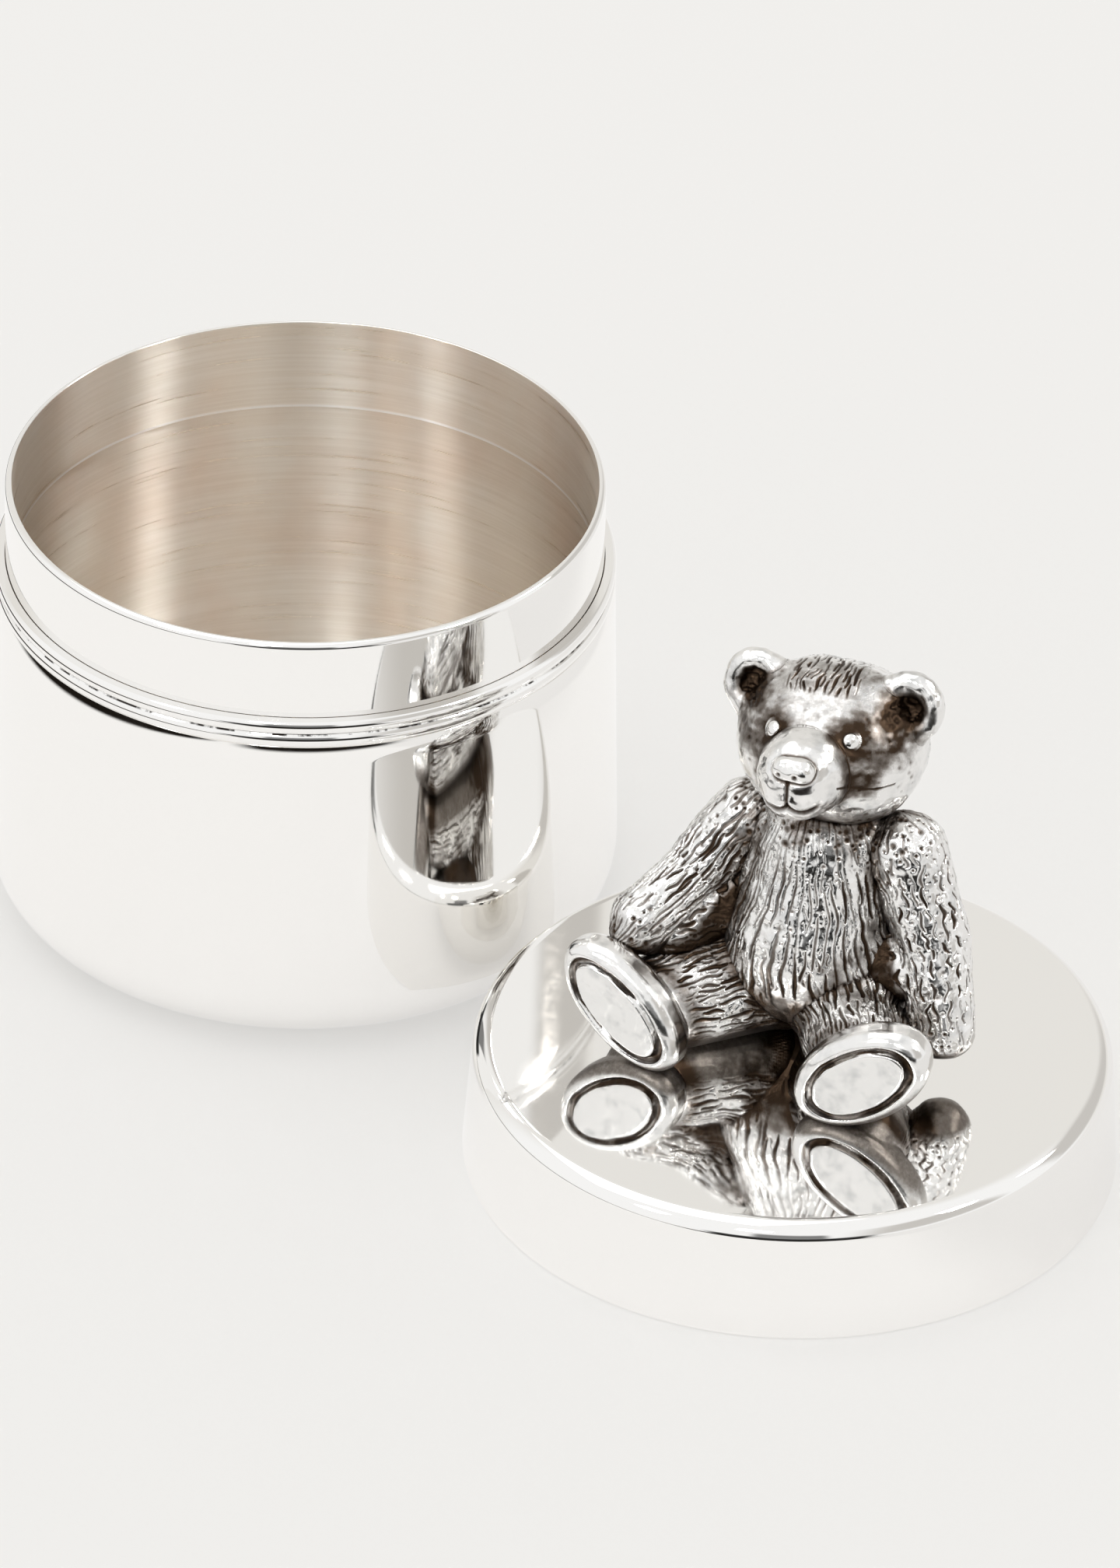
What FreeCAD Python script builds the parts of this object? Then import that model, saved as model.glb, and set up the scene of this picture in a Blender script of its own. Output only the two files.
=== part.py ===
import FreeCAD, Part
import math
import os

from FreeCAD import Rotation, Vector

# Round box, which stands at the origin. Lengths are in millimetres, angles in degrees.
body_radius = 22.6
body_taper = 0.6
body_wall = 0.75
body_floor = 1.25
body_corner_radius = 4.6
body_height = 27.7

# Collar in the mouth of the body, which guides the lid.
collar_wall = 0.5
collar_stand = 6.0
collar_seat = 1.2
collar_lip_radius = 0.42
solder_gap = 0.05

# Reeded band in a rebate round the top of the body.
bead_height = 2.1
bead_depth = 0.4
bead_stand = 0.03
reed_groove_depth = 0.24
reed_count = 2

# Loose lid, taken off and standing beside the box.
lid_wall = 1.38
lid_top = 1.15
lid_height = 8.9
lid_taper = 0.65
lid_shoulder_radius = 1.3
lid_inner_corner_radius = 0.4
lid_clearance = 0.3
lid_gap = 1.94
lid_bearing = -42.62

# Screw and washer that hold the bear on the lid.
screw_radius = 1.0
screw_bite = 5.0
screw_head_radius = 1.9
screw_head_height = 1.3
screw_slot_width = 0.5
screw_slot_depth = 0.6
washer_radius = 2.7
washer_thickness = 0.5
screw_clearance = 0.1
tapped_gap = 0.03
tapped_spare = 0.6

# Seated bear. It faces -Y before it is turned, with +X to its left, and its places are shares of its height.
bear_height = 28.6
bear_turn = -26.0
bear_aside = -0.3
bear_behind = -0.94
rump_shares = (0.0, 0.175, 0.161)
rump_radius_share = 0.175
belly_shares = (0.0, 0.119, 0.259)
belly_radius_share = 0.21
chest_shares = (0.0, 0.172, 0.517)
chest_radius_share = 0.171

# Head, in its own frame about the middle of the skull.
head_shares = (0.007, 0.185, 0.793)
head_lift = 20.0
head_turn = 6.0
head_tilt = 3.0
skull_shares = (0.034, 0.0, 0.0)
skull_radius_share = 0.199
muzzle_shares = (-0.009, -0.216, -0.042)
muzzle_radius_share = 0.106
nose_shares = (0.022, -0.312, -0.006)
nose_radius_share = 0.032
eye_shares = (0.092, -0.169, 0.05)
eye_radius_share = 0.023
ear_shares = (0.193, -0.035, 0.12)
ear_middle_share = 0.061
ear_rim_share = 0.027
ear_back_share = 0.022

# Arms, as the middles of the shoulder, elbow and hand and their radii, and the web of metal inside each elbow.
right_arm_shares = ((-0.196, 0.157, 0.53), (-0.284, 0.052, 0.395), (-0.36, -0.08, 0.31))
right_arm_radius_shares = (0.094, 0.084, 0.082)
left_arm_shares = ((0.222, 0.172, 0.545), (0.318, 0.129, 0.336), (0.385, 0.052, 0.15))
left_arm_radius_shares = (0.097, 0.09, 0.077)
right_web_shares = ((-0.31, -0.02, 0.272), (-0.195, 0.085, 0.345))
left_web_shares = ((0.335, 0.1, 0.27), (0.2, 0.12, 0.25))
web_radius_share = 0.08

# Legs, as the middles of the hip and ankle and their radii, and the middle of the sole.
right_leg_shares = ((-0.1, 0.1, 0.135), (-0.305, -0.135, 0.108))
left_leg_shares = ((0.1, 0.1, 0.135), (0.262, -0.135, 0.108))
leg_radius_shares = (0.142, 0.12)
right_sole_shares = (-0.35, -0.257, 0.149)
left_sole_shares = (0.301, -0.255, 0.149)
sole_turn = 8.0
sole_tilt = 38.0

# Foot, a thick oval pad with a groove round the middle of its sole.
foot_half_length = 5.55
foot_half_width = 3.4
foot_thickness = 3.0
foot_edge_radius = 1.2
pad_half_length = 4.05
pad_half_width = 2.1
pad_groove_width = 0.32
pad_groove_depth = 0.35

# How far a cutting shape runs past what it cuts.
overrun = 2.0

# Sizes that follow from those above.
body_mouth_radius = body_radius - body_taper
body_inner_radius = body_mouth_radius - body_wall
collar_radius = body_inner_radius - solder_gap
collar_inner_radius = collar_radius - collar_wall
rim_height = body_height + collar_stand
bead_inner_radius = body_mouth_radius - bead_depth
bead_radius = body_mouth_radius + bead_stand
bead_foot = body_height - bead_height
lid_inner_radius = collar_radius + lid_clearance
lid_radius = lid_inner_radius + lid_wall
lid_ceiling = lid_height - lid_top
lid_distance = body_radius + lid_gap + lid_radius
lid_x = lid_distance * math.cos(math.radians(lid_bearing))
lid_y = lid_distance * math.sin(math.radians(lid_bearing))
lid_place = Vector(lid_x, lid_y, 0)
bear_place = Vector(lid_x + bear_aside, lid_y + bear_behind, lid_height)
screw_x = rump_shares[0] * bear_height
screw_y = rump_shares[1] * bear_height
up = Vector(0, 0, 1)
sideways = Vector(1, 0, 0)
forwards = Vector(0, -1, 0)
origin = Vector(0, 0, 0)


def corner_cut(before, corner, after, radius):
    """Where a round of this radius leaves the two sides of a corner, and the middle of its arc."""
    to_before = (before - corner).normalize()
    to_after = (after - corner).normalize()
    half_angle = to_before.getAngle(to_after) / 2
    setback = radius / math.tan(half_angle)
    bisector = (to_before + to_after).normalize()
    middle = corner + bisector * (radius / math.sin(half_angle) - radius)
    return corner + to_before * setback, middle, corner + to_after * setback


def outline(corners):
    """Closed outline in the XZ plane through (radius, height, rounding) corners."""
    points = [Vector(radius, 0, height) for radius, height, rounding in corners]
    edges = []
    ends = []
    for index, (radius, height, rounding) in enumerate(corners):
        corner = points[index]
        if rounding == 0:
            ends.append((corner, corner))
            continue
        after = points[(index + 1) % len(points)]
        start, middle, end = corner_cut(points[index - 1], corner, after, rounding)
        edges.append(Part.Arc(start, middle, end).toShape())
        ends.append((start, end))
    for index, (start, end) in enumerate(ends):
        edges.append(Part.LineSegment(ends[index - 1][1], start).toShape())
    return Part.Wire(Part.__sortEdges__(edges))


def turned(wire):
    """Solid of revolution about the Z axis."""
    return Part.Face(wire).revolve(origin, up, 360)


def make_box_body():
    inner_corner_radius = body_corner_radius - body_wall
    return turned(outline([
        (0, 0, 0),
        (body_radius, 0, body_corner_radius),
        (body_mouth_radius, bead_foot, 0),
        (bead_inner_radius, bead_foot, 0),
        (bead_inner_radius, body_height, 0),
        (body_inner_radius, body_height, 0),
        (body_inner_radius, body_floor, inner_corner_radius),
        (0, body_floor, 0),
    ]))


def make_neck_collar():
    foot = body_height - collar_seat
    return turned(outline([
        (collar_inner_radius, foot, 0),
        (collar_radius, foot, 0),
        (collar_radius, rim_height, collar_lip_radius),
        (collar_inner_radius, rim_height, 0),
    ]))


def make_bead_ring():
    groove_radius = bead_radius - reed_groove_depth
    reed_height = bead_height / reed_count
    foot_inside = Vector(bead_inner_radius, 0, bead_foot)
    top_inside = Vector(bead_inner_radius, 0, body_height)
    edges = [Part.LineSegment(foot_inside, Vector(groove_radius, 0, bead_foot)).toShape()]
    for reed in range(reed_count):
        low = bead_foot + reed * reed_height
        high = low + reed_height
        start = Vector(groove_radius, 0, low)
        crest = Vector(bead_radius, 0, (low + high) / 2)
        end = Vector(groove_radius, 0, high)
        edges.append(Part.Arc(start, crest, end).toShape())
    edges.append(Part.LineSegment(Vector(groove_radius, 0, body_height), top_inside).toShape())
    edges.append(Part.LineSegment(top_inside, foot_inside).toShape())
    return turned(Part.Wire(edges))


def make_lid_shell():
    shell = turned(outline([
        (lid_inner_radius, 0, 0),
        (lid_radius, 0, 0),
        (lid_radius - lid_taper, lid_height, lid_shoulder_radius),
        (0, lid_height, 0),
        (0, lid_ceiling, 0),
        (lid_inner_radius, lid_ceiling, lid_inner_corner_radius),
    ]))
    hole = Part.makeCylinder(screw_radius + screw_clearance, lid_height + overrun)
    shell.translate(lid_place)
    return shell.cut(on_lid(hole.translated(Vector(screw_x, screw_y, -lid_height))))


def on_lid(shape):
    """Turn a shape from the bear's frame and stand it on the lid's top."""
    shape = shape.copy()
    shape.rotate(origin, up, bear_turn)
    shape.translate(bear_place)
    return shape


def place(shares):
    """A point of the bear from its shares of the bear's height."""
    return Vector(*shares) * bear_height


def ball(shares, radius_share):
    return Part.makeSphere(radius_share * bear_height, place(shares))


def tapered(start_shares, start_share, end_shares, end_share):
    """Two balls and the cone that touches both."""
    start = place(start_shares)
    end = place(end_shares)
    start_radius = start_share * bear_height
    end_radius = end_share * bear_height
    along = end - start
    sine = (start_radius - end_radius) / along.Length
    cosine = math.sqrt(1 - sine * sine)
    along.normalize()
    foot = start + along * (start_radius * sine)
    length = (end + along * (end_radius * sine) - foot).Length
    balls = [ball(start_shares, start_share), ball(end_shares, end_share)]
    if start_radius == end_radius:
        middle = Part.makeCylinder(start_radius, length, foot, along)
    else:
        middle = Part.makeCone(start_radius * cosine, end_radius * cosine, length, foot, along)
    return middle.fuse(balls)


def above_lid(shape):
    """Cut a shape flat where it meets the lid's top."""
    reach = 2 * bear_height
    below = Part.makeBox(reach, reach, reach, Vector(-bear_height, -bear_height, -reach))
    return shape.cut(below)


def make_torso(head):
    trunk = tapered(belly_shares, belly_radius_share, chest_shares, chest_radius_share)
    seat = tapered(rump_shares, rump_radius_share, belly_shares, belly_radius_share)
    return above_lid(trunk.fuse(seat)).cut(head)


def make_tapped_hole():
    return Part.makeCylinder(screw_radius + tapped_gap, screw_bite + tapped_spare, Vector(screw_x, screw_y, 0))


def bar(shares, radius_share):
    """Round-ended bar from side to side."""
    return tapered(on_side(shares, -1), radius_share, on_side(shares, 1), radius_share)


def make_ear(side):
    """Rolled rim with a thin back."""
    middle = place(on_side(ear_shares, side))
    rim = Part.makeTorus(ear_middle_share * bear_height, ear_rim_share * bear_height, middle, forwards)
    back = Part.makeCylinder(ear_middle_share * bear_height, ear_back_share * bear_height, middle, -forwards)
    return rim.fuse(back)


def make_head():
    skull = bar(skull_shares, skull_radius_share)
    features = [ball(muzzle_shares, muzzle_radius_share), bar(nose_shares, nose_radius_share)]
    for side in (-1, 1):
        features.append(make_ear(side))
        features.append(ball(on_side(eye_shares, side), eye_radius_share))
    head = skull.fuse(features)
    head.Placement = FreeCAD.Placement(
        place(head_shares),
        Rotation(up, head_turn) * Rotation(sideways, -head_lift) * Rotation(forwards, head_tilt),
    )
    return head


def on_side(shares, side):
    """Mirror a place to the bear's left (1) or right (-1)."""
    return side * shares[0], shares[1], shares[2]


def make_arm(point_shares, radius_shares, web_shares):
    upper = tapered(point_shares[0], radius_shares[0], point_shares[1], radius_shares[1])
    lower = tapered(point_shares[1], radius_shares[1], point_shares[2], radius_shares[2])
    web = tapered(web_shares[0], web_radius_share, web_shares[1], web_radius_share)
    return upper.fuse([lower, web])


def oval(half_length, half_width, height):
    """Upright oval prism with its long axis along X."""
    edge = Part.Ellipse(origin, half_length, half_width).toShape()
    return Part.Face(Part.Wire(edge)).extrude(Vector(0, 0, height))


def make_foot(sole_shares, side):
    """Foot whose sole faces forwards and a little outwards, with its toes tilted outwards."""
    foot = oval(foot_half_length, foot_half_width, -foot_thickness)
    foot = foot.makeFillet(foot_edge_radius, [edge for edge in foot.Edges if edge.isClosed()])
    groove = oval(pad_half_length + pad_groove_width, pad_half_width + pad_groove_width, -pad_groove_depth)
    groove = groove.cut(oval(pad_half_length, pad_half_width, -pad_groove_depth))
    foot = foot.cut(groove)
    turn = math.radians(sole_turn)
    tilt = math.radians(sole_tilt)
    facing = Vector(side * math.sin(turn), -math.cos(turn), 0)
    outwards = Vector(side * math.cos(turn), math.sin(turn), 0)
    length_way = outwards * math.cos(tilt) + up * math.sin(tilt)
    foot.Placement = FreeCAD.Placement(
        place(sole_shares),
        Rotation(length_way, facing.cross(length_way), facing, "ZXY"),
    )
    return foot


def make_leg(point_shares, sole_shares, side):
    thigh = tapered(point_shares[0], leg_radius_shares[0], point_shares[1], leg_radius_shares[1])
    return above_lid(thigh.fuse(make_foot(sole_shares, side)))


def make_screw():
    head_top = -lid_top - washer_thickness
    shank = Part.makeCylinder(screw_radius, screw_bite - head_top, Vector(screw_x, screw_y, head_top))
    head_foot = head_top - screw_head_height
    head = Part.makeCylinder(screw_head_radius, screw_head_height, Vector(screw_x, screw_y, head_foot))
    slot_length = 2 * screw_head_radius + overrun
    corner = Vector(screw_x - slot_length / 2, screw_y - screw_slot_width / 2, head_foot)
    slot = Part.makeBox(slot_length, screw_slot_width, screw_slot_depth, corner)
    return shank.fuse(head).cut(slot)


def make_washer():
    foot = Vector(screw_x, screw_y, -lid_top - washer_thickness)
    disc = Part.makeCylinder(washer_radius, washer_thickness, foot)
    return disc.cut(Part.makeCylinder(screw_radius + screw_clearance, washer_thickness, foot))


def make_bear():
    """The bear's pieces in its own frame. Each is cut by the larger pieces that it meets."""
    head = make_head()
    torso = make_torso(head)
    right_leg = make_leg(right_leg_shares, right_sole_shares, -1).cut(torso)
    left_leg = make_leg(left_leg_shares, left_sole_shares, 1).cut(torso)
    right_arm = make_arm(right_arm_shares, right_arm_radius_shares, right_web_shares)
    left_arm = make_arm(left_arm_shares, left_arm_radius_shares, left_web_shares)
    return {
        "bear_head": head,
        "bear_torso": torso.cut(make_tapped_hole()),
        "bear_right_leg": right_leg,
        "bear_left_leg": left_leg,
        "bear_right_arm": right_arm.cut(torso).cut(head).cut(right_leg),
        "bear_left_arm": left_arm.cut(torso).cut(head).cut(left_leg),
    }


def main():
    pieces = {
        "box_body": make_box_body(),
        "neck_collar": make_neck_collar(),
        "bead_ring": make_bead_ring(),
        "lid_shell": make_lid_shell(),
        "fixing_screw": on_lid(make_screw()),
        "screw_washer": on_lid(make_washer()),
    }
    for name, shape in make_bear().items():
        pieces[name] = on_lid(shape)
    os.makedirs("parts", exist_ok=True)
    for name, shape in pieces.items():
        shape.exportStep(f"parts/{name}.step")
        print(name, shape.ShapeType, len(shape.Solids), shape.isValid(), round(shape.Volume, 2))


main()
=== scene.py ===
import math

import bpy
import numpy as np
from bpy.props import FloatProperty, IntProperty, PointerProperty, StringProperty
from mathutils import Matrix, Vector
from mathutils.bvhtree import BVHTree


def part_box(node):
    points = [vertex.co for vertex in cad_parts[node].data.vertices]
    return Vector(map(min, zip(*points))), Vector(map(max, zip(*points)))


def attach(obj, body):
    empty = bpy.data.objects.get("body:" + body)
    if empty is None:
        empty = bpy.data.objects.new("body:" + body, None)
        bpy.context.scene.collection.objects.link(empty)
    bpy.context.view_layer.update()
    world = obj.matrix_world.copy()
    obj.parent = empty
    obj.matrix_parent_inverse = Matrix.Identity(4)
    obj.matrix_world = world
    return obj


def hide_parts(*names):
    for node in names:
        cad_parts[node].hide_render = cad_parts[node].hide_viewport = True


bl_info = {
    "name": "Tooth box with bear",
    "version": (1, 0, 0),
    "blender": (4, 5, 0),
    "location": "View3D > Sidebar > Tooth box",
    "description": "Polished tooth box with its lid set beside it and a cast bear on the lid",
    "category": "Object",
}

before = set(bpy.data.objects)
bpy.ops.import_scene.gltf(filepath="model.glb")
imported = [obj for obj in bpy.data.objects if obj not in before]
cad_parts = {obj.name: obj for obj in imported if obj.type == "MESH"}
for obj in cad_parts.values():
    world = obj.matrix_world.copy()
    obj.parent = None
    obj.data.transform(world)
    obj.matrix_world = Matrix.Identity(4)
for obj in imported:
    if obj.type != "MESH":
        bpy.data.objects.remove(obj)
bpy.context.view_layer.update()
MM = 0.001
UP = (0.0, 0.0, 1.0)
SIDES = (-1, 1)

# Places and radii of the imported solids.
BOX_AXIS = (0.0, 0.0)
BODY_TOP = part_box("box_body")[1].z
COLLAR_LOW, COLLAR_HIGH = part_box("neck_collar")
COLLAR_RADIUS = (COLLAR_HIGH.x - COLLAR_LOW.x) / 2
BAND_LOW, BAND_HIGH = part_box("bead_ring")
LID_LOW, LID_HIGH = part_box("lid_shell")
LID_AXIS = (LID_LOW + LID_HIGH) / 2
LID_RADIUS = (LID_HIGH.x - LID_LOW.x) / 2
LID_HEIGHT = LID_HIGH.z

# How finely turned pieces are drawn, and the gaps that tell their points and faces apart.
ROUNDING_STEPS = 12
SHOULDER_STEPS = 12
SHOULDER_TURN = math.radians(13.0)
REED_STEPS = 10
SMOOTH_ANGLE = math.radians(35.0)
MERGE_GAP = 0.002 * MM
FACE_SPARE = 0.02 * MM
LID_EDGE = 0.12 * MM
LID_INNER_CORNER = 0.4 * MM

# Sizes of the patterns in the finishes. Fine lines are drawn coarser than they are, so that they show.
POLISH_WAVE = 14 * MM
WIPING_MARK = 0.6 * MM
HANDLING_CLOUD = 3 * MM
GRIME_BREAK = 1.3 * MM
SEAM_LINE = 0.13 * MM
GROOVE_LINE = 0.1 * MM
BRUSH_LINE = 0.3 * MM
TARNISH_CLOUD = 9 * MM
# Width of the painted highlight along the collar's lower edge.
COLLAR_HIGHLIGHT_LINE = 0.28 * MM
CAST_SPECK = 0.3 * MM
RUBBED_CLOUD = 1.6 * MM
LATHE_LINE = 0.15 * MM

# The bear's own frame, in millimetres: it faces -Y, +X is to its left and its seat is at height 0.
BEAR_HEIGHT = 28.6
BEAR_TURN = math.radians(-26.0)
BEAR_SEAT = Vector((LID_AXIS.x - 0.3 * MM, LID_AXIS.y - 0.94 * MM, LID_HEIGHT))
BEAR_NODES = ("bear_head", "bear_torso", "bear_right_arm", "bear_left_arm", "bear_right_leg", "bear_left_leg")
# Reach of the crease fill and of the painted shade where the bear's pieces meet.
TOUCH_REACH = 1.4
CREASE_FILL = 0.24

# Heights and widths of the lumps in the casting, in millimetres.
LUMPS = ((0.26, 2.8), (0.13, 1.1), (0.07, 0.42))

# Torso and limbs, in millimetres. A pair is the range over which a mark comes in.
TORSO_RADIUS = 5.4
TORSO_MIDDLE = 3.6
BELLY_HEIGHT = 11.0
BELLY_HALF = 2.6
PITTED_CHEST = (13.0, 16.5)
WORN_CHEST = (13.5, 16.0)
ARM_RADIUS = 2.5
# Distance from the arm's axis where the web between arm and body starts, darkened as painted shade.
ARM_WEB_SHADE = (2.75, 3.3)
ARM_TOP = (3.5, 0.5)
HAND_LENGTH = 2.5
RIGHT_ARM = np.array(((-0.196, 0.157, 0.53), (-0.284, 0.052, 0.395), (-0.36, -0.08, 0.31))) * BEAR_HEIGHT
LEFT_ARM = np.array(((0.222, 0.172, 0.545), (0.318, 0.129, 0.336), (0.385, 0.052, 0.15))) * BEAR_HEIGHT
LEG_RADIUS = 3.5
RIGHT_LEG = np.array(((-0.1, 0.1, 0.135), (-0.305, -0.135, 0.108))) * BEAR_HEIGHT
LEFT_LEG = np.array(((0.1, 0.1, 0.135), (0.262, -0.135, 0.108))) * BEAR_HEIGHT

# The soles. A pair is the range over which a mark comes in, out of the sole or off the leg's axis.
RIGHT_SOLE = np.array((-0.35, -0.257, 0.149)) * BEAR_HEIGHT
LEFT_SOLE = np.array((0.301, -0.255, 0.149)) * BEAR_HEIGHT
SOLE_TURN = math.radians(8.0)
SOLE_TILT = math.radians(38.0)
PAD_HALF = (4.21, 2.26)
PAD_WORN = (-1.1, -0.8)
PAD_WORN_OVAL = (1.45, 1.3)
PAD_PASSES = 60
RING_FRONT = (-1.0, -0.6)
FOOT_BACK = (-3.6, -2.7)
ANKLE_BACK = (-4.4, -3.3)
ANKLE_FRONT = (-2.2, -3.0)
ANKLE_HALF = (5.0, 3.6)

# The head's own frame, in millimetres about the middle of its skull.
HEAD_MIDDLE = np.array((0.007, 0.185, 0.793)) * BEAR_HEIGHT
HEAD_TURN = math.radians(6.0)
HEAD_LIFT = math.radians(20.0)
HEAD_TILT = math.radians(3.0)
HEAD_TOUCH_REACH = 0.9
SKULL_RADIUS = 0.199 * BEAR_HEIGHT
SKULL_REACH = 0.034 * BEAR_HEIGHT
MUZZLE_MIDDLE = np.array((-0.009, -0.216, -0.042)) * BEAR_HEIGHT
MUZZLE_RADIUS = 0.106 * BEAR_HEIGHT
NOSE_MIDDLE = np.array((0.0, -0.312, -0.006)) * BEAR_HEIGHT
NOSE_REACH = 0.022 * BEAR_HEIGHT
NOSE_RADIUS = 0.032 * BEAR_HEIGHT
EYE_MIDDLE = np.array((0.092, -0.169, 0.05)) * BEAR_HEIGHT
EYE_RADIUS = 0.023 * BEAR_HEIGHT
EAR_MIDDLE = np.array((0.193, -0.035, 0.12)) * BEAR_HEIGHT
EAR_RING = 0.061 * BEAR_HEIGHT
EAR_RIM = 0.027 * BEAR_HEIGHT

# Marks on the head. A pair is the range over which a mark comes in.
DARK_LINE = np.array(((5.3, -1.9, 2.8), (4.9, -3.1, 1.1), (3.0, -4.9, 1.3), (3.4, -4.8, -0.9)))
DARK_EDGE = (2.7, 0.5)
SOCKET_WIDTH = 1.05
EAR_PASSES = 120
EAR_WORN = (0.9, 0.4)
EAR_DARK = (0.75, 0.2)
EAR_FILLET = 1.2
MUZZLE_FILLET = 1.9
MUZZLE_FRONT = (-6.8, -7.6)
MUZZLE_FOOT = 0.7
NOSE_FOOT = 0.2
NOSE_FRONT = -9.0
NOSTRIL_ASIDE, NOSTRIL_DROP = 0.62, 0.42
NOSTRIL_WIDTH, NOSTRIL_HEIGHT = 0.22, 0.2
MOUTH_DROP = 1.75
MOUTH_SAG = 0.4
MOUTH_WIDTH = 0.16
MOUTH_END = (2.25, 1.7)
LIP_HALF = 0.95
LIP_OFFSET = 0.5
LIP_WIDTH = 0.33
LIP_END = (2.2, 1.2)
PARTING_WIDTH = 0.14
PARTING_TOP = (-0.95, -1.25)
PARTING_FOOT = (-0.2, 0.1)
ON_SURFACE = (0.5, 0.2)
OFF_MUZZLE = (0.2, 0.8)
BROW_RISE = (1.0, 2.4)
BROW_FRONT = (0.5, -1.5)
SEAM_DROP = 1.75
SEAM_WIDTH = 0.07
SEAM_START, SEAM_END, SEAM_BACK = 2.9, 5.9, -0.5
CROWN_RISE = (3.9, 4.6)
CROWN_HALF = (2.9, 2.1)
HEAD_BACK = (0.6, 2.2)
CHIN_DROP = (-3.4, -5.0)
CHEEK_SIDE = (1.8, 4.0)
CHEEK_BACK = 1.0

# The camera, from outlines of the box and lid in the 1440 by 2016 photograph.
PHOTO_HEIGHT = 2016
SENSOR_WIDTH = 36
FOCAL_PIXELS = 16758.94
CAMERA_PLACE = Vector((18.353, -770.860, 533.597)) * MM
CAMERA_PITCH = math.radians(34.2811)
CAMERA_ROLL = math.radians(1.1508)
NEAREST_SEEN = 0.05

# The studio, in metres. A pair is the range over which a form comes in.
GLOSSY_BOUNCES = 12
FLOOR_SIZE = 6.0
FLOOR_GLOW_SHARE = 0.5
# Where the painted shade on the floor right of the lid, which only reflections see, comes in.
IMAGE_EDGE = (0.048, 0.060)
LEFT_GAP_START = (-0.070, -0.084)
LEFT_GAP_END = (-0.150, -0.125)
FRONT_GAP_START = (-0.110, -0.145)
WEDGE_MIDDLE = 0.02
WEDGE_SLOPE = 0.45
WEDGE_EDGE = (0.02, -0.015)
LAMP_PLACE = (-0.25, 0.1, 0.9)
LAMP_AIM = Vector((0.02, -0.01, 0.0))
LAMP_SIZE = 0.7
LAMP_POWER = 1.2

# The tent, by headings and heights on a unit sphere. A panel is a level heading and how much it glows.
TENT_BRIGHT, TENT_DARK = 0.97, 0.03
GAP_SIDE, GAP_TOP = (0.85, 0.93), (0.22, 0.1)
STAND_SIDE, STAND_TOP = (0.965, 0.985), (0.55, 0.4)
STAND_SHARE = 0.7
PANELS = ((0.918, -0.397, 85.0), (0.93, 0.37, 36.0), (-0.24, -0.971, 20.0), (-0.81, -0.586, 38.0))
PANEL_SIDE, PANEL_FOOT, PANEL_TOP = (0.9945, 0.9985), (0.60, 0.64), (0.74, 0.69)
BACK_START = (0.2, 0.7)
RIGHT_START, RIGHT_FOOT, RIGHT_TOP = (0.25, 0.55), (0.05, 0.2), (0.72, 0.62)
RIGHT_MIDDLE, RIGHT_SIDE = -0.05, (0.14, 0.3)


def length(label, default, description):
    return FloatProperty(name=label, description=description, default=default, unit="LENGTH", precision=5)


def count(label, default, least, description):
    return IntProperty(name=label, description=description, default=default, min=least)


def colour(label, default, description):
    return StringProperty(name=label, description=description, default=default)


class BoxSizes(bpy.types.PropertyGroup):
    """Half sections of the box, its collar, its band and the lid."""

    body_foot_radius: length("Foot radius", 22.6 * MM, "Radius of the body's side carried down to the floor")
    body_mouth_radius: length("Mouth radius", 22.0 * MM, "Radius of the body's side under the band")
    body_inner_radius: length("Inner radius", 21.25 * MM, "Radius of the body's inside")
    body_floor: length("Floor", 1.25 * MM, "Thickness of the body's floor")
    body_shoulder: length("Shoulder rounding", 7.0 * MM, "Radius of the body's side where it turns in")
    body_corner: length("Foot rounding", 4.6 * MM, "Rounding of the body's bottom edge")
    body_inner_corner: length("Inner rounding", 3.85 * MM, "Rounding inside the body's bottom edge")
    band_inner_radius: length("Band bore", 21.6 * MM, "Radius of the rebate that the band sits in")
    band_groove: length("Reed depth", 0.24 * MM, "Depth of the groove between the reeds")
    collar_wall: length("Collar wall", 0.5 * MM, "Thickness of the collar")
    collar_lip: length("Collar lip", 0.42 * MM, "Rounding of the collar's outer edge")
    lid_inner_radius: length("Lid bore", 21.5 * MM, "Radius of the lid's inside")
    lid_top: length("Lid top", 1.15 * MM, "Thickness of the lid's top")
    lid_taper: length("Lid taper", 0.65 * MM, "How much narrower the lid is at its top")
    lid_shoulder: length("Lid shoulder", 1.3 * MM, "Rounding of the lid's top edge")
    steps: count("Steps", 288, 24, "Faces round a turned piece")


class BearSizes(bpy.types.PropertyGroup):
    """Chasing of the cast bear."""

    grain: length("Mesh grain", 0.07 * MM, "Size of the faces that carry the chased fur")
    most_faces: count("Most faces", 190000, 1000, "Triangles that one cast piece may have")
    stroke_depth: length("Stroke depth", 0.19 * MM, "Depth of a chased stroke of fur")
    stroke_spacing: length("Stroke spacing", 0.5 * MM, "Distance from stroke to stroke")
    stroke_width: length("Stroke width", 0.085 * MM, "Half width of a stroke")
    stroke_length: length("Stroke length", 2.3 * MM, "Length of a stroke")


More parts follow.
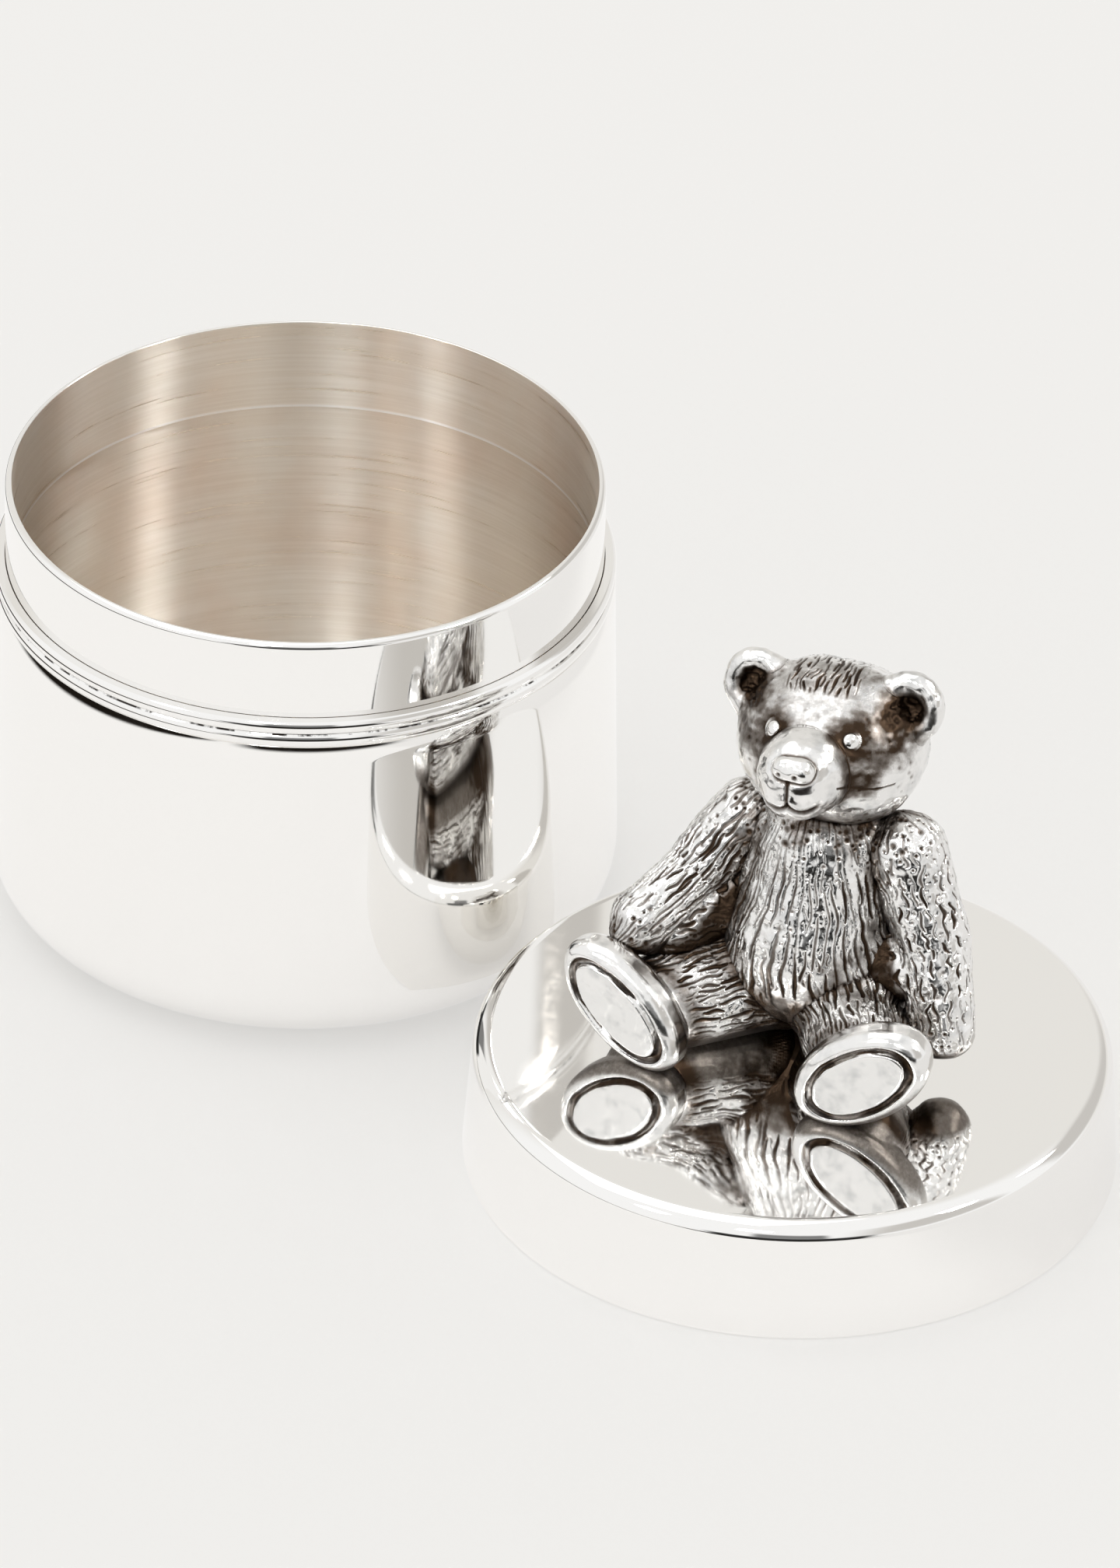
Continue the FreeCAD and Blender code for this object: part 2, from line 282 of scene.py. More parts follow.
class Finishes(bpy.types.PropertyGroup):
    """Colours of the pieces, as sRGB hex values."""

    plate: colour("Silver plate", "#f8f7f5", "Polished plate")
    grime: colour("Grime", "#2a2420", "Old polish in the groove of the band")
    satin: colour("Brushed plate", "#f3efe8", "Brushed plate inside the box")
    tarnish: colour("Tarnish", "#ece1d6", "Warm tarnish on the brushed plate")
    brushing: colour("Brush lines", "#dfd9d2", "Tint of the lines that the brush left")
    # Painted highlight: white along the collar's lower edge inside the box.
    edge: colour("Collar edge", "#ffffff", "Bright line along the collar's lower edge")
    cast: colour("Cast silver", "#f1f0ee", "High places of the bear")
    dull: colour("Dull cast silver", "#d0d0cf", "Less rubbed places of the bear")
    # Film and brown-black also colour the painted shade at the bear's joins and on its undersides.
    film: colour("Thin oxide", "#817a74", "Grey film on the bear's smooth hollows")
    oxide_and_shade: colour("Oxide", "#392d23", "Brown-black in the bear's recesses")
    steel: colour("Steel", "#a9a9a8", "Screw and washer")


class Studio(bpy.types.PropertyGroup):
    """Colours of the stage, as sRGB hex values."""

    floor: colour("Floor", "#f2f1ef", "Paper that the box stands on")
    floor_seen: colour("Floor as seen", "#f0efed", "Even ground that the camera sees")
    floor_image: colour("Floor in the plate", "#fbfaf9", "Ground that reflections see")
    # Painted shade: the floor right of the lid, as reflections see it.
    floor_image_right: colour("Right of the floor", "#f1f0ef", "Ground right of the lid that reflections see")
    gap: colour("Gap", "#1c1814", "Dark gaps round the floor that reflections see")
    tent: colour("Tent", "#ffffff", "Cloth of the tent")
    tent_back: colour("Back of the tent", "#eeece8", "Cloth behind the box")
    tent_right: colour("Right of the tent", "#cfccc8", "Cloth in shade on the right")


# Settings that many nodes share.
SMOOTH = {"interpolation_type": "SMOOTHSTEP"}
TIMES = {"operation": "MULTIPLY"}
TIMES_PLUS = {"operation": "MULTIPLY_ADD"}
LARGER = {"operation": "MAXIMUM"}
DOT = {"operation": "DOT_PRODUCT"}
COLOURS = {"data_type": "RGBA"}


def linear(hex_colour):
    """sRGB hex value as a linear RGBA tuple."""
    parts = [int(hex_colour[i:i + 2], 16) / 255 for i in (1, 3, 5)]
    return (*[p / 12.92 if p <= 0.04045 else ((p + 0.055) / 1.055) ** 2.4 for p in parts], 1.0)


def node(tree, kind, settings=None, *values, **inputs):
    """Add a shader node with its settings, and set or link its inputs, in order or by name.

    A node that is given as a value is linked by the first of its outputs that is in use.
    """
    made = tree.nodes.new("ShaderNode" + kind)
    for key, value in (settings or {}).items():
        setattr(made, key, value)
    named = [(made.inputs[key.replace("_", " ")], value) for key, value in inputs.items()]
    for socket, value in (*zip(made.inputs, values), *named):
        if isinstance(value, bpy.types.Node):
            value = next(output for output in value.outputs if not output.is_unavailable)
        if isinstance(value, bpy.types.NodeSocket):
            tree.links.new(value, socket)
        else:
            socket.default_value = value
    return made


def new_material(name):
    """A material with an empty node tree."""
    made = bpy.data.materials.new(name)
    made.use_nodes = True
    made.node_tree.nodes.clear()
    return made, made.node_tree


def within(tree, *ranges):
    """Share from 0 to 1 in several ranges at once, each a value and the pair over which it comes in."""
    share = 1.0
    for value, (start, full) in ranges:
        step = node(tree, "MapRange", SMOOTH, value, start, full)
        share = node(tree, "Math", TIMES, share, step)
    return share


def away(tree, value, middle):
    """Distance of a value from its middle."""
    offset = node(tree, "Math", {"operation": "SUBTRACT"}, value, middle)
    return node(tree, "Math", {"operation": "ABSOLUTE"}, offset)


def line_at(tree, value, middle, half):
    """1 on a thin line where a value is near its middle, 0 away from it."""
    return within(tree, (away(tree, value, middle), (half, half * 0.4)))


def bare_metal(tree, tint, rough, bump, **more):
    """End a material as a metal with no coat."""
    shader = node(
        tree, "BsdfPrincipled", Base_Color=tint, Metallic=1.0, Roughness=rough, Normal=bump, **more,
    )
    node(tree, "OutputMaterial", Surface=shader)


def polished(tree, place, tint):
    """Mirror polish: a clear reflection, a slow wave from the spinning, wiping marks and a little haze."""
    wave = node(tree, "TexNoise", Vector=place, Scale=1 / POLISH_WAVE, Detail=1.0)
    stretched = node(tree, "Mapping", Vector=place, Scale=(1.0, 1.0, 9.0), Rotation=(0.5, 0.3, 0.0))
    marks = node(tree, "TexNoise", Vector=stretched, Scale=1 / WIPING_MARK, Detail=3.0)
    fine = node(tree, "Bump", Strength=0.012, Distance=0.02 * MM, Height=marks)
    bump = node(tree, "Bump", Strength=0.22, Distance=0.06 * MM, Height=wave, Normal=fine)
    handled = node(tree, "TexNoise", Vector=place, Scale=1 / HANDLING_CLOUD, Detail=5.0, Roughness=0.7)
    rough = node(tree, "MapRange", SMOOTH, handled, 0.35, 0.75, 0.03, 0.075)
    bare_metal(tree, tint, rough, bump)


def plate_material():
    """Silver plate, spun and mirror-polished: the studio shows in it, a little waved and hazed."""
    made, tree = new_material("polished_silver_plate")
    place = node(tree, "TexCoord").outputs["Object"]
    polished(tree, place, linear(bpy.context.scene.tooth_finishes.plate))
    return made


def band_material():
    """Polished plate with old polish in its groove and its seam with the collar: thin, broken dark lines."""
    made, tree = new_material("polished_silver_band")
    finishes = bpy.context.scene.tooth_finishes
    place = node(tree, "TexCoord").outputs["Object"]
    flat = node(tree, "Mapping", Vector=place, Scale=(1.0, 1.0, 0.0))
    radius = node(tree, "VectorMath", {"operation": "LENGTH"}, flat)
    height = node(tree, "SeparateXYZ", Vector=place).outputs["Z"]
    broken = node(tree, "TexNoise", Vector=place, Scale=1 / GRIME_BREAK, Detail=4.0, Roughness=0.65)
    seam = line_at(tree, radius, COLLAR_RADIUS, SEAM_LINE)
    groove = line_at(tree, height, (BAND_LOW.z + BAND_HIGH.z) / 2, GROOVE_LINE)
    lines = node(tree, "Math", LARGER, seam, groove)
    grime = node(tree, "Math", TIMES, lines, within(tree, (broken, (0.44, 0.58))))
    tint = node(
        tree, "Mix", COLOURS, Factor=grime, A=linear(finishes.plate), B=linear(finishes.grime),
    )
    polished(tree, place, tint)
    return made


def satin_material():
    """Silver plate brushed round the inside: light drawn out up and down, fine rings, a warm tarnish and a
    painted highlight.
    """
    made, tree = new_material("brushed_silver_plate")
    finishes = bpy.context.scene.tooth_finishes
    place = node(tree, "TexCoord").outputs["Object"]
    height = node(tree, "SeparateXYZ", Vector=place).outputs["Z"]
    rings = node(tree, "Mapping", Vector=place, Scale=(0.02, 0.02, 1.0))
    lines = node(tree, "TexNoise", Vector=rings, Scale=1 / BRUSH_LINE, Detail=4.0, Roughness=0.65)
    cloud = node(tree, "TexNoise", Vector=place, Scale=1 / TARNISH_CLOUD, Detail=3.0)
    tint = node(
        tree, "Mix", COLOURS, Factor=within(tree, (cloud, (0.38, 0.72))),
        A=linear(finishes.satin), B=linear(finishes.tarnish),
    )
    brushed = node(tree, "MapRange", SMOOTH, lines, 0.7, 0.3, 0.0, 0.28)
    tint = node(
        tree, "Mix", {**COLOURS, "blend_type": "MULTIPLY"},
        Factor=brushed, A=tint, B=linear(finishes.brushing),
    )
    # Painted highlight: a thin white line in the colour along the collar's lower edge.
    edge = line_at(tree, height, COLLAR_LOW.z, COLLAR_HIGHLIGHT_LINE)
    tint = node(tree, "Mix", COLOURS, Factor=edge, A=tint, B=linear(finishes.edge))
    bump = node(tree, "Bump", Strength=0.2, Distance=0.02 * MM, Height=lines)
    rough = node(tree, "MapRange", SMOOTH, lines, 0.3, 0.75, 0.27, 0.37)
    way = node(tree, "Tangent", {"direction_type": "RADIAL", "axis": "Z"})
    bare_metal(tree, tint, rough, bump, Anisotropic=1.0, Anisotropic_Rotation=0.25, Tangent=way)
    return made


def cast_material():
    """Cast silver, blackened and rubbed bright: dark where its point attribute is high, from blackening and
    painted shade.
    """
    made, tree = new_material("oxidised_cast_silver")
    finishes = bpy.context.scene.tooth_finishes
    place = node(tree, "TexCoord").outputs["Object"]
    # The attribute holds blackening in the recesses and painted shade at the joins and undersides.
    depth = node(tree, "Attribute", {"attribute_name": "oxide_and_shade"}).outputs["Fac"]
    speck = node(tree, "TexNoise", Vector=place, Scale=1 / CAST_SPECK, Detail=4.0, Roughness=0.7)
    cloud = node(tree, "TexNoise", Vector=place, Scale=1 / RUBBED_CLOUD, Detail=3.0)
    broken = node(tree, "Math", TIMES_PLUS, speck, 0.4, depth)
    tone = linear(finishes.cast)
    for value, come_in, film in (
        (cloud, (0.45, 0.8), finishes.dull),
        (broken, (0.36, 0.9), finishes.film),
        (broken, (0.75, 1.25), finishes.oxide_and_shade),
    ):
        covered = within(tree, (value, come_in))
        tone = node(tree, "Mix", COLOURS, Factor=covered, A=tone, B=linear(film))
    bump = node(tree, "Bump", Strength=0.12, Distance=0.03 * MM, Height=speck)
    rough = node(tree, "MapRange", SMOOTH, broken, 0.3, 0.85, 0.15, 0.4)
    bare_metal(tree, tone, rough, bump)
    return made


def steel_material():
    """Plain steel, turned: a fine grain from the lathe and a grey, slightly dull shine."""
    made, tree = new_material("turned_steel")
    place = node(tree, "TexCoord").outputs["Object"]
    lines = node(tree, "TexNoise", Vector=place, Scale=1 / LATHE_LINE, Detail=3.0)
    bump = node(tree, "Bump", Strength=0.2, Distance=0.02 * MM, Height=lines)
    rough = node(tree, "MapRange", SMOOTH, lines, 0.3, 0.7, 0.25, 0.4)
    bare_metal(tree, linear(bpy.context.scene.tooth_finishes.steel), rough, bump)
    return made


def finish_of(name, maker):
    """A material by name, made when it is first asked for."""
    return bpy.data.materials.get(name) or maker()


def dress(piece, materials, body, slot, *nodes):
    """Give a piece its materials and tie it to the frame."""
    piece.data.materials.clear()
    for material in materials:
        piece.data.materials.append(material)
    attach(piece, body)
    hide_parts(*nodes)


def dress_plate(piece, body, source):
    """Polished plate, with brushed plate as the second material."""
    plate = finish_of("polished_silver_plate", plate_material)
    satin = finish_of("brushed_silver_plate", satin_material)
    dress(piece, [plate, satin], body, "polished_silver", source)


def dress_cast(piece, source):
    """Oxidised cast silver, as on every piece of the bear."""
    dress(piece, [finish_of("oxidised_cast_silver", cast_material)], "lid", "cast_silver", source)


def deselect():
    """Back to object mode with nothing selected."""
    if bpy.context.object and bpy.context.object.mode != "OBJECT":
        bpy.ops.object.mode_set(mode="OBJECT")
    bpy.ops.object.select_all(action="DESELECT")


def pick_vertices(piece, *corners):
    """Select vertices of a half section in edit mode, by radius and height."""
    bpy.ops.mesh.select_all(action="DESELECT")
    bpy.ops.object.mode_set(mode="OBJECT")
    for radius, height in corners:
        place = Vector((radius, 0.0, height))
        min(piece.data.vertices, key=lambda vertex: (vertex.co - place).length).select = True
    bpy.ops.object.mode_set(mode="EDIT")


def turned(name, corners, axis, closed):
    """Draw a half section through (radius, height, rounding) corners from a vertex, round it and spin it."""
    deselect()
    bpy.ops.mesh.primitive_plane_add(size=MM)
    piece = bpy.context.object
    piece.name = piece.data.name = name
    bpy.ops.object.mode_set(mode="EDIT")
    bpy.ops.mesh.select_mode(type="VERT")
    bpy.ops.mesh.select_all(action="SELECT")
    bpy.ops.mesh.merge(type="CENTER")
    bpy.ops.transform.translate(value=(corners[0][0], 0.0, corners[0][1]))
    for start, end in zip(corners, corners[1:]):
        step = (end[0] - start[0], 0.0, end[1] - start[1])
        bpy.ops.mesh.extrude_region_move(TRANSFORM_OT_translate={"value": step})
    if closed:
        pick_vertices(piece, corners[0][:2], corners[-1][:2])
        bpy.ops.mesh.edge_face_add()
    for radius, height, rounding in corners:
        if rounding:
            pick_vertices(piece, (radius, height))
            bpy.ops.mesh.bevel(
                offset=rounding, segments=ROUNDING_STEPS, profile=0.5, affect="VERTICES", clamp_overlap=False,
            )
    bpy.ops.mesh.select_all(action="SELECT")
    steps = bpy.context.scene.tooth_box.steps
    bpy.ops.mesh.spin(steps=steps, angle=math.tau, center=(0.0, 0.0, 0.0), axis=UP)
    bpy.ops.mesh.select_all(action="SELECT")
    bpy.ops.mesh.remove_doubles(threshold=MERGE_GAP)
    bpy.ops.mesh.normals_make_consistent(inside=False)
    bpy.ops.transform.translate(value=(axis[0], axis[1], 0.0))
    bpy.ops.object.mode_set(mode="OBJECT")
    bpy.ops.object.shade_smooth_by_angle(angle=SMOOTH_ANGLE)
    weigh = piece.modifiers.new("even_normals", "WEIGHTED_NORMAL")
    weigh.weight = 100
    weigh.keep_sharp = True
    bpy.ops.object.modifier_apply(modifier=weigh.name)
    return piece


def brush_inside(piece, axis, radius, below=None):
    """Second material on the faces within a radius that look in or up, or that lie below a height."""
    for face in piece.data.polygons:
        out = Vector((face.center.x - axis[0], face.center.y - axis[1], 0.0))
        looks_in = face.normal.dot(out) < -0.1 * out.length or face.normal.z > 0.1
        chosen = looks_in if below is None else face.center.z < below + FACE_SPARE
        face.material_index = int(chosen and out.length < radius + FACE_SPARE)


class TOOTHBOX_OT_box_body(bpy.types.Operator):
    """Spun cup with a rounded foot, polished outside and brushed inside"""

    bl_idname = "toothbox.box_body"
    bl_label = "Box body"

    def execute(self, context):
        size = context.scene.tooth_box
        rebate = BAND_LOW.z
        lean = math.atan2(size.body_foot_radius - size.body_mouth_radius, rebate)
        rise = size.body_shoulder * (math.sin(SHOULDER_TURN) - math.sin(lean))
        start = size.body_foot_radius - (rebate - rise) * math.tan(lean)
        shoulder = []
        for step in range(SHOULDER_STEPS + 1):
            angle = lean + (SHOULDER_TURN - lean) * step / SHOULDER_STEPS
            shoulder.append((
                start - size.body_shoulder * (math.cos(lean) - math.cos(angle)),
                rebate - rise + size.body_shoulder * (math.sin(angle) - math.sin(lean)),
                0.0,
            ))
        piece = turned("box_cup", [
            (0.0, 0.0, 0.0),
            (size.body_foot_radius, 0.0, size.body_corner),
            *shoulder,
            (size.band_inner_radius, rebate, 0.0),
            (size.band_inner_radius, BODY_TOP, 0.0),
            (size.body_inner_radius, BODY_TOP, 0.0),
            (size.body_inner_radius, size.body_floor, size.body_inner_corner),
            (0.0, size.body_floor, 0.0),
        ], BOX_AXIS, False)
        dress_plate(piece, "box", "box_body")
        brush_inside(piece, BOX_AXIS, size.body_inner_radius)
        return {"FINISHED"}


class TOOTHBOX_OT_neck_collar(bpy.types.Operator):
    """Thin sleeve with a rounded lip, polished outside and brushed inside"""

    bl_idname = "toothbox.neck_collar"
    bl_label = "Neck collar"

    def execute(self, context):
        size = context.scene.tooth_box
        inner = COLLAR_RADIUS - size.collar_wall
        inner_lip = (size.collar_wall - size.collar_lip) * 0.9
        piece = turned("neck_sleeve", [
            (inner, COLLAR_LOW.z, 0.0),
            (COLLAR_RADIUS, COLLAR_LOW.z, 0.0),
            (COLLAR_RADIUS, COLLAR_HIGH.z, size.collar_lip),
            (inner, COLLAR_HIGH.z, inner_lip),
        ], BOX_AXIS, True)
        dress_plate(piece, "box", "neck_collar")
        brush_inside(piece, BOX_AXIS, inner)
        return {"FINISHED"}


class TOOTHBOX_OT_reeded_band(bpy.types.Operator):
    """Band with two rounded reeds, soldered into its rebate"""

    bl_idname = "toothbox.reeded_band"
    bl_label = "Reeded band"

    def execute(self, context):
        size = context.scene.tooth_box
        crest = (BAND_HIGH.x - BAND_LOW.x) / 2
        half = (BAND_HIGH.z - BAND_LOW.z) / 4
        swell = 2 * math.atan2(size.band_groove, half)
        arc = half / math.sin(swell)
        section = [(size.band_inner_radius, BAND_LOW.z, 0.0)]
        for middle in (BAND_LOW.z + half, BAND_HIGH.z - half):
            for step in range(-REED_STEPS, REED_STEPS + 1):
                turn = swell * step / REED_STEPS
                section.append((crest - arc + arc * math.cos(turn), middle + arc * math.sin(turn), 0.0))
            # The two reeds share the point in the groove.
            if middle < BAND_HIGH.z - 2 * half:
                section.pop()
        section.append((size.band_inner_radius, BAND_HIGH.z, 0.0))
        piece = turned("reeded_band", section, BOX_AXIS, True)
        finish = finish_of("polished_silver_band", band_material)
        dress(piece, [finish], "box", "polished_silver", "bead_ring")
        return {"FINISHED"}


class TOOTHBOX_OT_lid_shell(bpy.types.Operator):
    """Slip-on cap with a flat top and a rounded shoulder, polished outside and brushed inside"""

    bl_idname = "toothbox.lid_shell"
    bl_label = "Lid shell"

    def execute(self, context):
        size = context.scene.tooth_box
        ceiling = LID_HEIGHT - size.lid_top
        piece = turned("lid_cap", [
            (0.0, ceiling, 0.0),
            (size.lid_inner_radius, ceiling, LID_INNER_CORNER),
            (size.lid_inner_radius, 0.0, LID_EDGE),
            (LID_RADIUS, 0.0, LID_EDGE),
            (LID_RADIUS - size.lid_taper, LID_HEIGHT, size.lid_shoulder),
            (0.0, LID_HEIGHT, 0.0),
        ], LID_AXIS, False)
        dress_plate(piece, "lid", "lid_shell")
        brush_inside(piece, LID_AXIS, size.lid_inner_radius, ceiling)
        return {"FINISHED"}


class TOOTHBOX_OT_lid_fixing(bpy.types.Operator):
    """Screw and washer under the lid"""

    bl_idname = "toothbox.lid_fixing"
    bl_label = "Lid fixing"

    def execute(self, context):
        for name in ("fixing_screw", "screw_washer"):
            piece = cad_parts[name]
            piece.data.materials.clear()
            piece.data.materials.append(finish_of("turned_steel", steel_material))
        return {"FINISHED"}


def noise_hash(*parts):
    """Repeatable value from 0 to 1 for whole-number arrays."""
    total = sum(part * factor for part, factor in zip(parts, (127.1, 311.7, 74.7, 269.5)))
    wave = np.sin(total) * 43758.5453
    return wave - np.floor(wave)


def soft_noise(points, size, seed):
    """Smooth value noise from 0 to 1 at points in millimetres."""
    grid = points / size
    cell = np.floor(grid)
    part = grid - cell
    part = part * part * (3 - 2 * part)
    total = np.zeros(len(points))
    for corner in np.ndindex(2, 2, 2):
        weight = np.prod(np.where(np.array(corner) == 1, part, 1 - part), axis=1)
        spot = cell + corner
        total += weight * noise_hash(spot[:, 0], spot[:, 1], spot[:, 2], seed)
    return total


def smooth_step(value, low, high):
    """Share from 0 to 1 of the way from low to high, eased at both ends."""
    share = np.clip((value - low) / (high - low), 0, 1)
    return share * share * (3 - 2 * share)


def bell(value, width):
    """1 where a value is 0, falling away smoothly over a width."""
    return np.exp(-(value / width) ** 2)


def chased_strokes(along, lane, lanes, seed, stroke):
    """Depth from 0 to 1 of hand-cut strokes with a flat floor, and below 0 for the burr along their edges.

    Lane counts the strokes round the piece, and along is in millimetres. Each stroke draws its own place,
    length, lean, wave and weight.
    """
    best, burr = np.zeros(len(along)), np.zeros(len(along))
    for side in (-1, 0, 1):
        index = np.floor(lane) + side
        around = index if lanes is None else np.mod(index, lanes)
        shift = noise_hash(around, np.zeros_like(around), np.zeros_like(around), seed)
        spot = along / stroke["length"] + shift
        for ahead in (-1, 0, 1):
            cell = np.floor(spot) + ahead
            slide, span, lean, phase, aside, weight = (
                noise_hash(around, cell, np.full_like(cell, number), seed) for number in range(1, 7)
            )
            middle = cell + 0.5 + (slide - 0.5) * 0.5
            reach = 0.25 + 0.38 * span
            offset = (spot - middle) / reach
            sway = 0.36 * (lean - 0.5) * offset + 0.12 * np.sin(3.1 * offset + 6.28 * phase)
            across = np.abs(lane - (index + 0.5 + 0.55 * (aside - 0.5) + sway)) * stroke["spacing"]
            taper = np.clip(1 - offset * offset, 0, 1) ** 0.5
            half = stroke["width"] * (0.55 + 0.9 * weight) * taper
            depth = smooth_step(across, half + 0.06, half * 0.4) * (0.5 + 0.5 * weight)
            best = np.maximum(best, depth * smooth_step(taper, 0.0, 0.45))
            burr = np.maximum(burr, bell(across - half - 0.09, 0.05) * smooth_step(taper, 0.2, 0.6))
    return best - 0.2 * burr * (1 - best)


def pits(points, size, seed, share):
    """Depth from 0 to 1 of small round pits, one in some of the cells of a grid in millimetres."""
    grid = points / size
    best = np.zeros(len(points))
    for neighbour in np.ndindex(3, 3, 3):
        cell = np.floor(grid) + np.array(neighbour) - 1
        pick = [noise_hash(cell[:, 0], cell[:, 1], cell[:, 2], seed + number) for number in range(5)]
        middle = cell + 0.25 + 0.5 * np.stack(pick[:3], axis=1)
        gap = np.linalg.norm(grid - middle, axis=1)
        best = np.maximum(best, (pick[4] < share) * bell(gap, 0.16 + 0.22 * pick[3]))
    return best


def wear(piece, share, passes):
    """Smooth a piece where its share is high, in four strengths."""
    group = piece.vertex_groups.new(name="worn")
    for level in range(1, 5):
        chosen = np.flatnonzero(np.round(share * 4) == level)
        group.add(chosen.tolist(), level / 4, "REPLACE")
    soft = piece.modifiers.new("worn_edges", "SMOOTH")
    soft.factor = 0.5
    soft.iterations = passes
    soft.vertex_group = group.name
    bpy.ops.object.modifier_apply(modifier=soft.name)
    piece.vertex_groups.clear()


def cast_copy(source, name):
    """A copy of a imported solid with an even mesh, fine enough to carry chasing."""
    deselect()
    piece = bpy.data.objects.new(name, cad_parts[source].data.copy())
    bpy.context.scene.collection.objects.link(piece)
    piece.select_set(True)
    bpy.context.view_layer.objects.active = piece
    bpy.ops.object.mode_set(mode="EDIT")
    bpy.ops.mesh.select_all(action="SELECT")
    bpy.ops.mesh.remove_doubles(threshold=MERGE_GAP)
    bpy.ops.object.mode_set(mode="OBJECT")
    even = piece.modifiers.new("even_mesh", "REMESH")
    even.mode = "VOXEL"
    even.voxel_size = bpy.context.scene.tooth_bear.grain
    bpy.ops.object.modifier_apply(modifier=even.name)
    wear(piece, np.ones(len(piece.data.vertices)), 4)
    return piece


def read_points(piece):
    """Places of a piece's vertices."""
    points = np.empty(len(piece.data.vertices) * 3)
    piece.data.vertices.foreach_get("co", points)
    return points.reshape(-1, 3)


def read_normals(piece):
    """Normals of a piece's vertices."""
    normals = np.empty(len(piece.data.vertices) * 3, np.float32)
    piece.data.vertex_normals.foreach_get("vector", normals)
    return normals.reshape(-1, 3).astype(float)


def bear_points(piece):
    """Points of a piece in the bear's own frame, in millimetres."""
    return (read_points(piece) - np.array(BEAR_SEAT)) / MM @ np.array(Matrix.Rotation(BEAR_TURN, 3, "Z"))


def cut_in(piece, depth, oxide_and_shade):
    """Sink a piece's surface by depths in millimetres and keep its blackening and painted shade as a point
    attribute.
    """
    moved = read_points(piece) - read_normals(piece) * (depth[:, None] * MM)
    piece.data.vertices.foreach_set("co", moved.ravel())
    layer = piece.data.attributes.new("oxide_and_shade", "FLOAT", "POINT")
    layer.data.foreach_set("value", np.clip(oxide_and_shade, 0, 1.5).astype(np.float32))
    for face in piece.data.polygons:
        face.use_smooth = True
    piece.data.update()
    piece.data.calc_loop_triangles()
    fewer = piece.modifiers.new("fewer_faces", "DECIMATE")
    fewer.ratio = min(1.0, bpy.context.scene.tooth_bear.most_faces / len(piece.data.loop_triangles))
    bpy.ops.object.modifier_apply(modifier=fewer.name)


def nearness(piece, source, reach):
    """How near each point of a piece is to the bear's other solids, from 1 where they touch.

    It falls off over a reach in millimetres, and points that share a small cell are measured once.
    """
    cell = 0.15 * MM
    cells, place = np.unique(np.round(read_points(piece) / cell).astype(int), axis=0, return_inverse=True)
    spots = [Vector(spot) for spot in cells * cell]
    far = reach * MM * 3
    least = np.full(len(spots), far)
    for name in BEAR_NODES:
        if name == source:
            continue
        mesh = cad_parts[name].data
        tree = BVHTree.FromPolygons([v.co for v in mesh.vertices], [f.vertices for f in mesh.polygons])
        found = [tree.find_nearest(spot, far)[3] for spot in spots]
        least = np.minimum(least, [far if gap is None else gap for gap in found])
    return (np.exp(-least / MM / reach) * (least < far))[place.ravel()]


def along_limb(points, joints):
    """Length along a limb, angle round it and distance from its axis, in millimetres."""
    best = None
    start = 0.0
    for index, (first, second) in enumerate(zip(joints, joints[1:])):
        way = second - first
        span = np.linalg.norm(way)
        way = way / span
        reach = (points - first) @ way
        held = np.clip(reach, 0, span)
        offset = points - first - held[:, None] * way
        side = np.cross(way, (0.0, -1.0, 0.0))
        side = side / np.linalg.norm(side)
        other = np.cross(way, side)
        angle = np.arctan2(offset @ side, offset @ other)
        gap = np.linalg.norm(offset, axis=1)
        extra = np.maximum(reach - span, 0) + (np.minimum(reach, 0) if index == 0 else 0)
        row = np.stack((start + held + extra, angle, gap))
        best = row if best is None else np.where(row[2] < best[2], row, best)
        start += span
    return best


def stroke_sizes(spacing=1.0, width=1.0, reach=1.0, fine=1.0):
    """Sizes of strokes in millimetres, as multiples of the usual ones, and the share of fine strokes."""
    size = bpy.context.scene.tooth_bear
    return {
        "depth": size.stroke_depth / MM,
        "spacing": size.stroke_spacing / MM * spacing,
        "width": size.stroke_width / MM * width,
        "length": size.stroke_length / MM * reach,
        "fine": fine,
    }


def unevenness(points, seed):
    """Hand-modelled lumps in millimetres, none where the bear meets the lid."""
    lumps = sum(
        tall * (soft_noise(points, wide, seed + number) - 0.5) for number, (tall, wide) in enumerate(LUMPS)
    )
    return lumps * smooth_step(points[:, 2], 0.2, 1.2)


def lane_strokes(points, along, angle, radius, seed, stroke):
    """Long strokes that wander a little round a limb, with finer short ones in patches between them."""
    lanes = max(6, round(math.tau * radius / stroke["spacing"]))
    warp = (soft_noise(points, 2.4, seed + 5) - 0.5) * 0.6 + (soft_noise(points, 0.8, seed + 6) - 0.5) * 0.2
    lane = (angle / math.tau + 0.5) * lanes + warp / stroke["spacing"]
    cut = chased_strokes(along, lane, lanes, seed, stroke)
    short = {**stroke, "length": 1.0, "spacing": stroke["spacing"] * 0.7, "width": 0.05}
    fine = chased_strokes(along, lane / 0.7 + 0.3, None, seed + 9, short) * 0.6
    fine = fine * smooth_step(soft_noise(points, 1.3, seed + 8), 0.35, 0.6) * stroke["fine"]
    return np.where(cut > 0, np.maximum(cut, fine), cut + np.maximum(fine, 0))


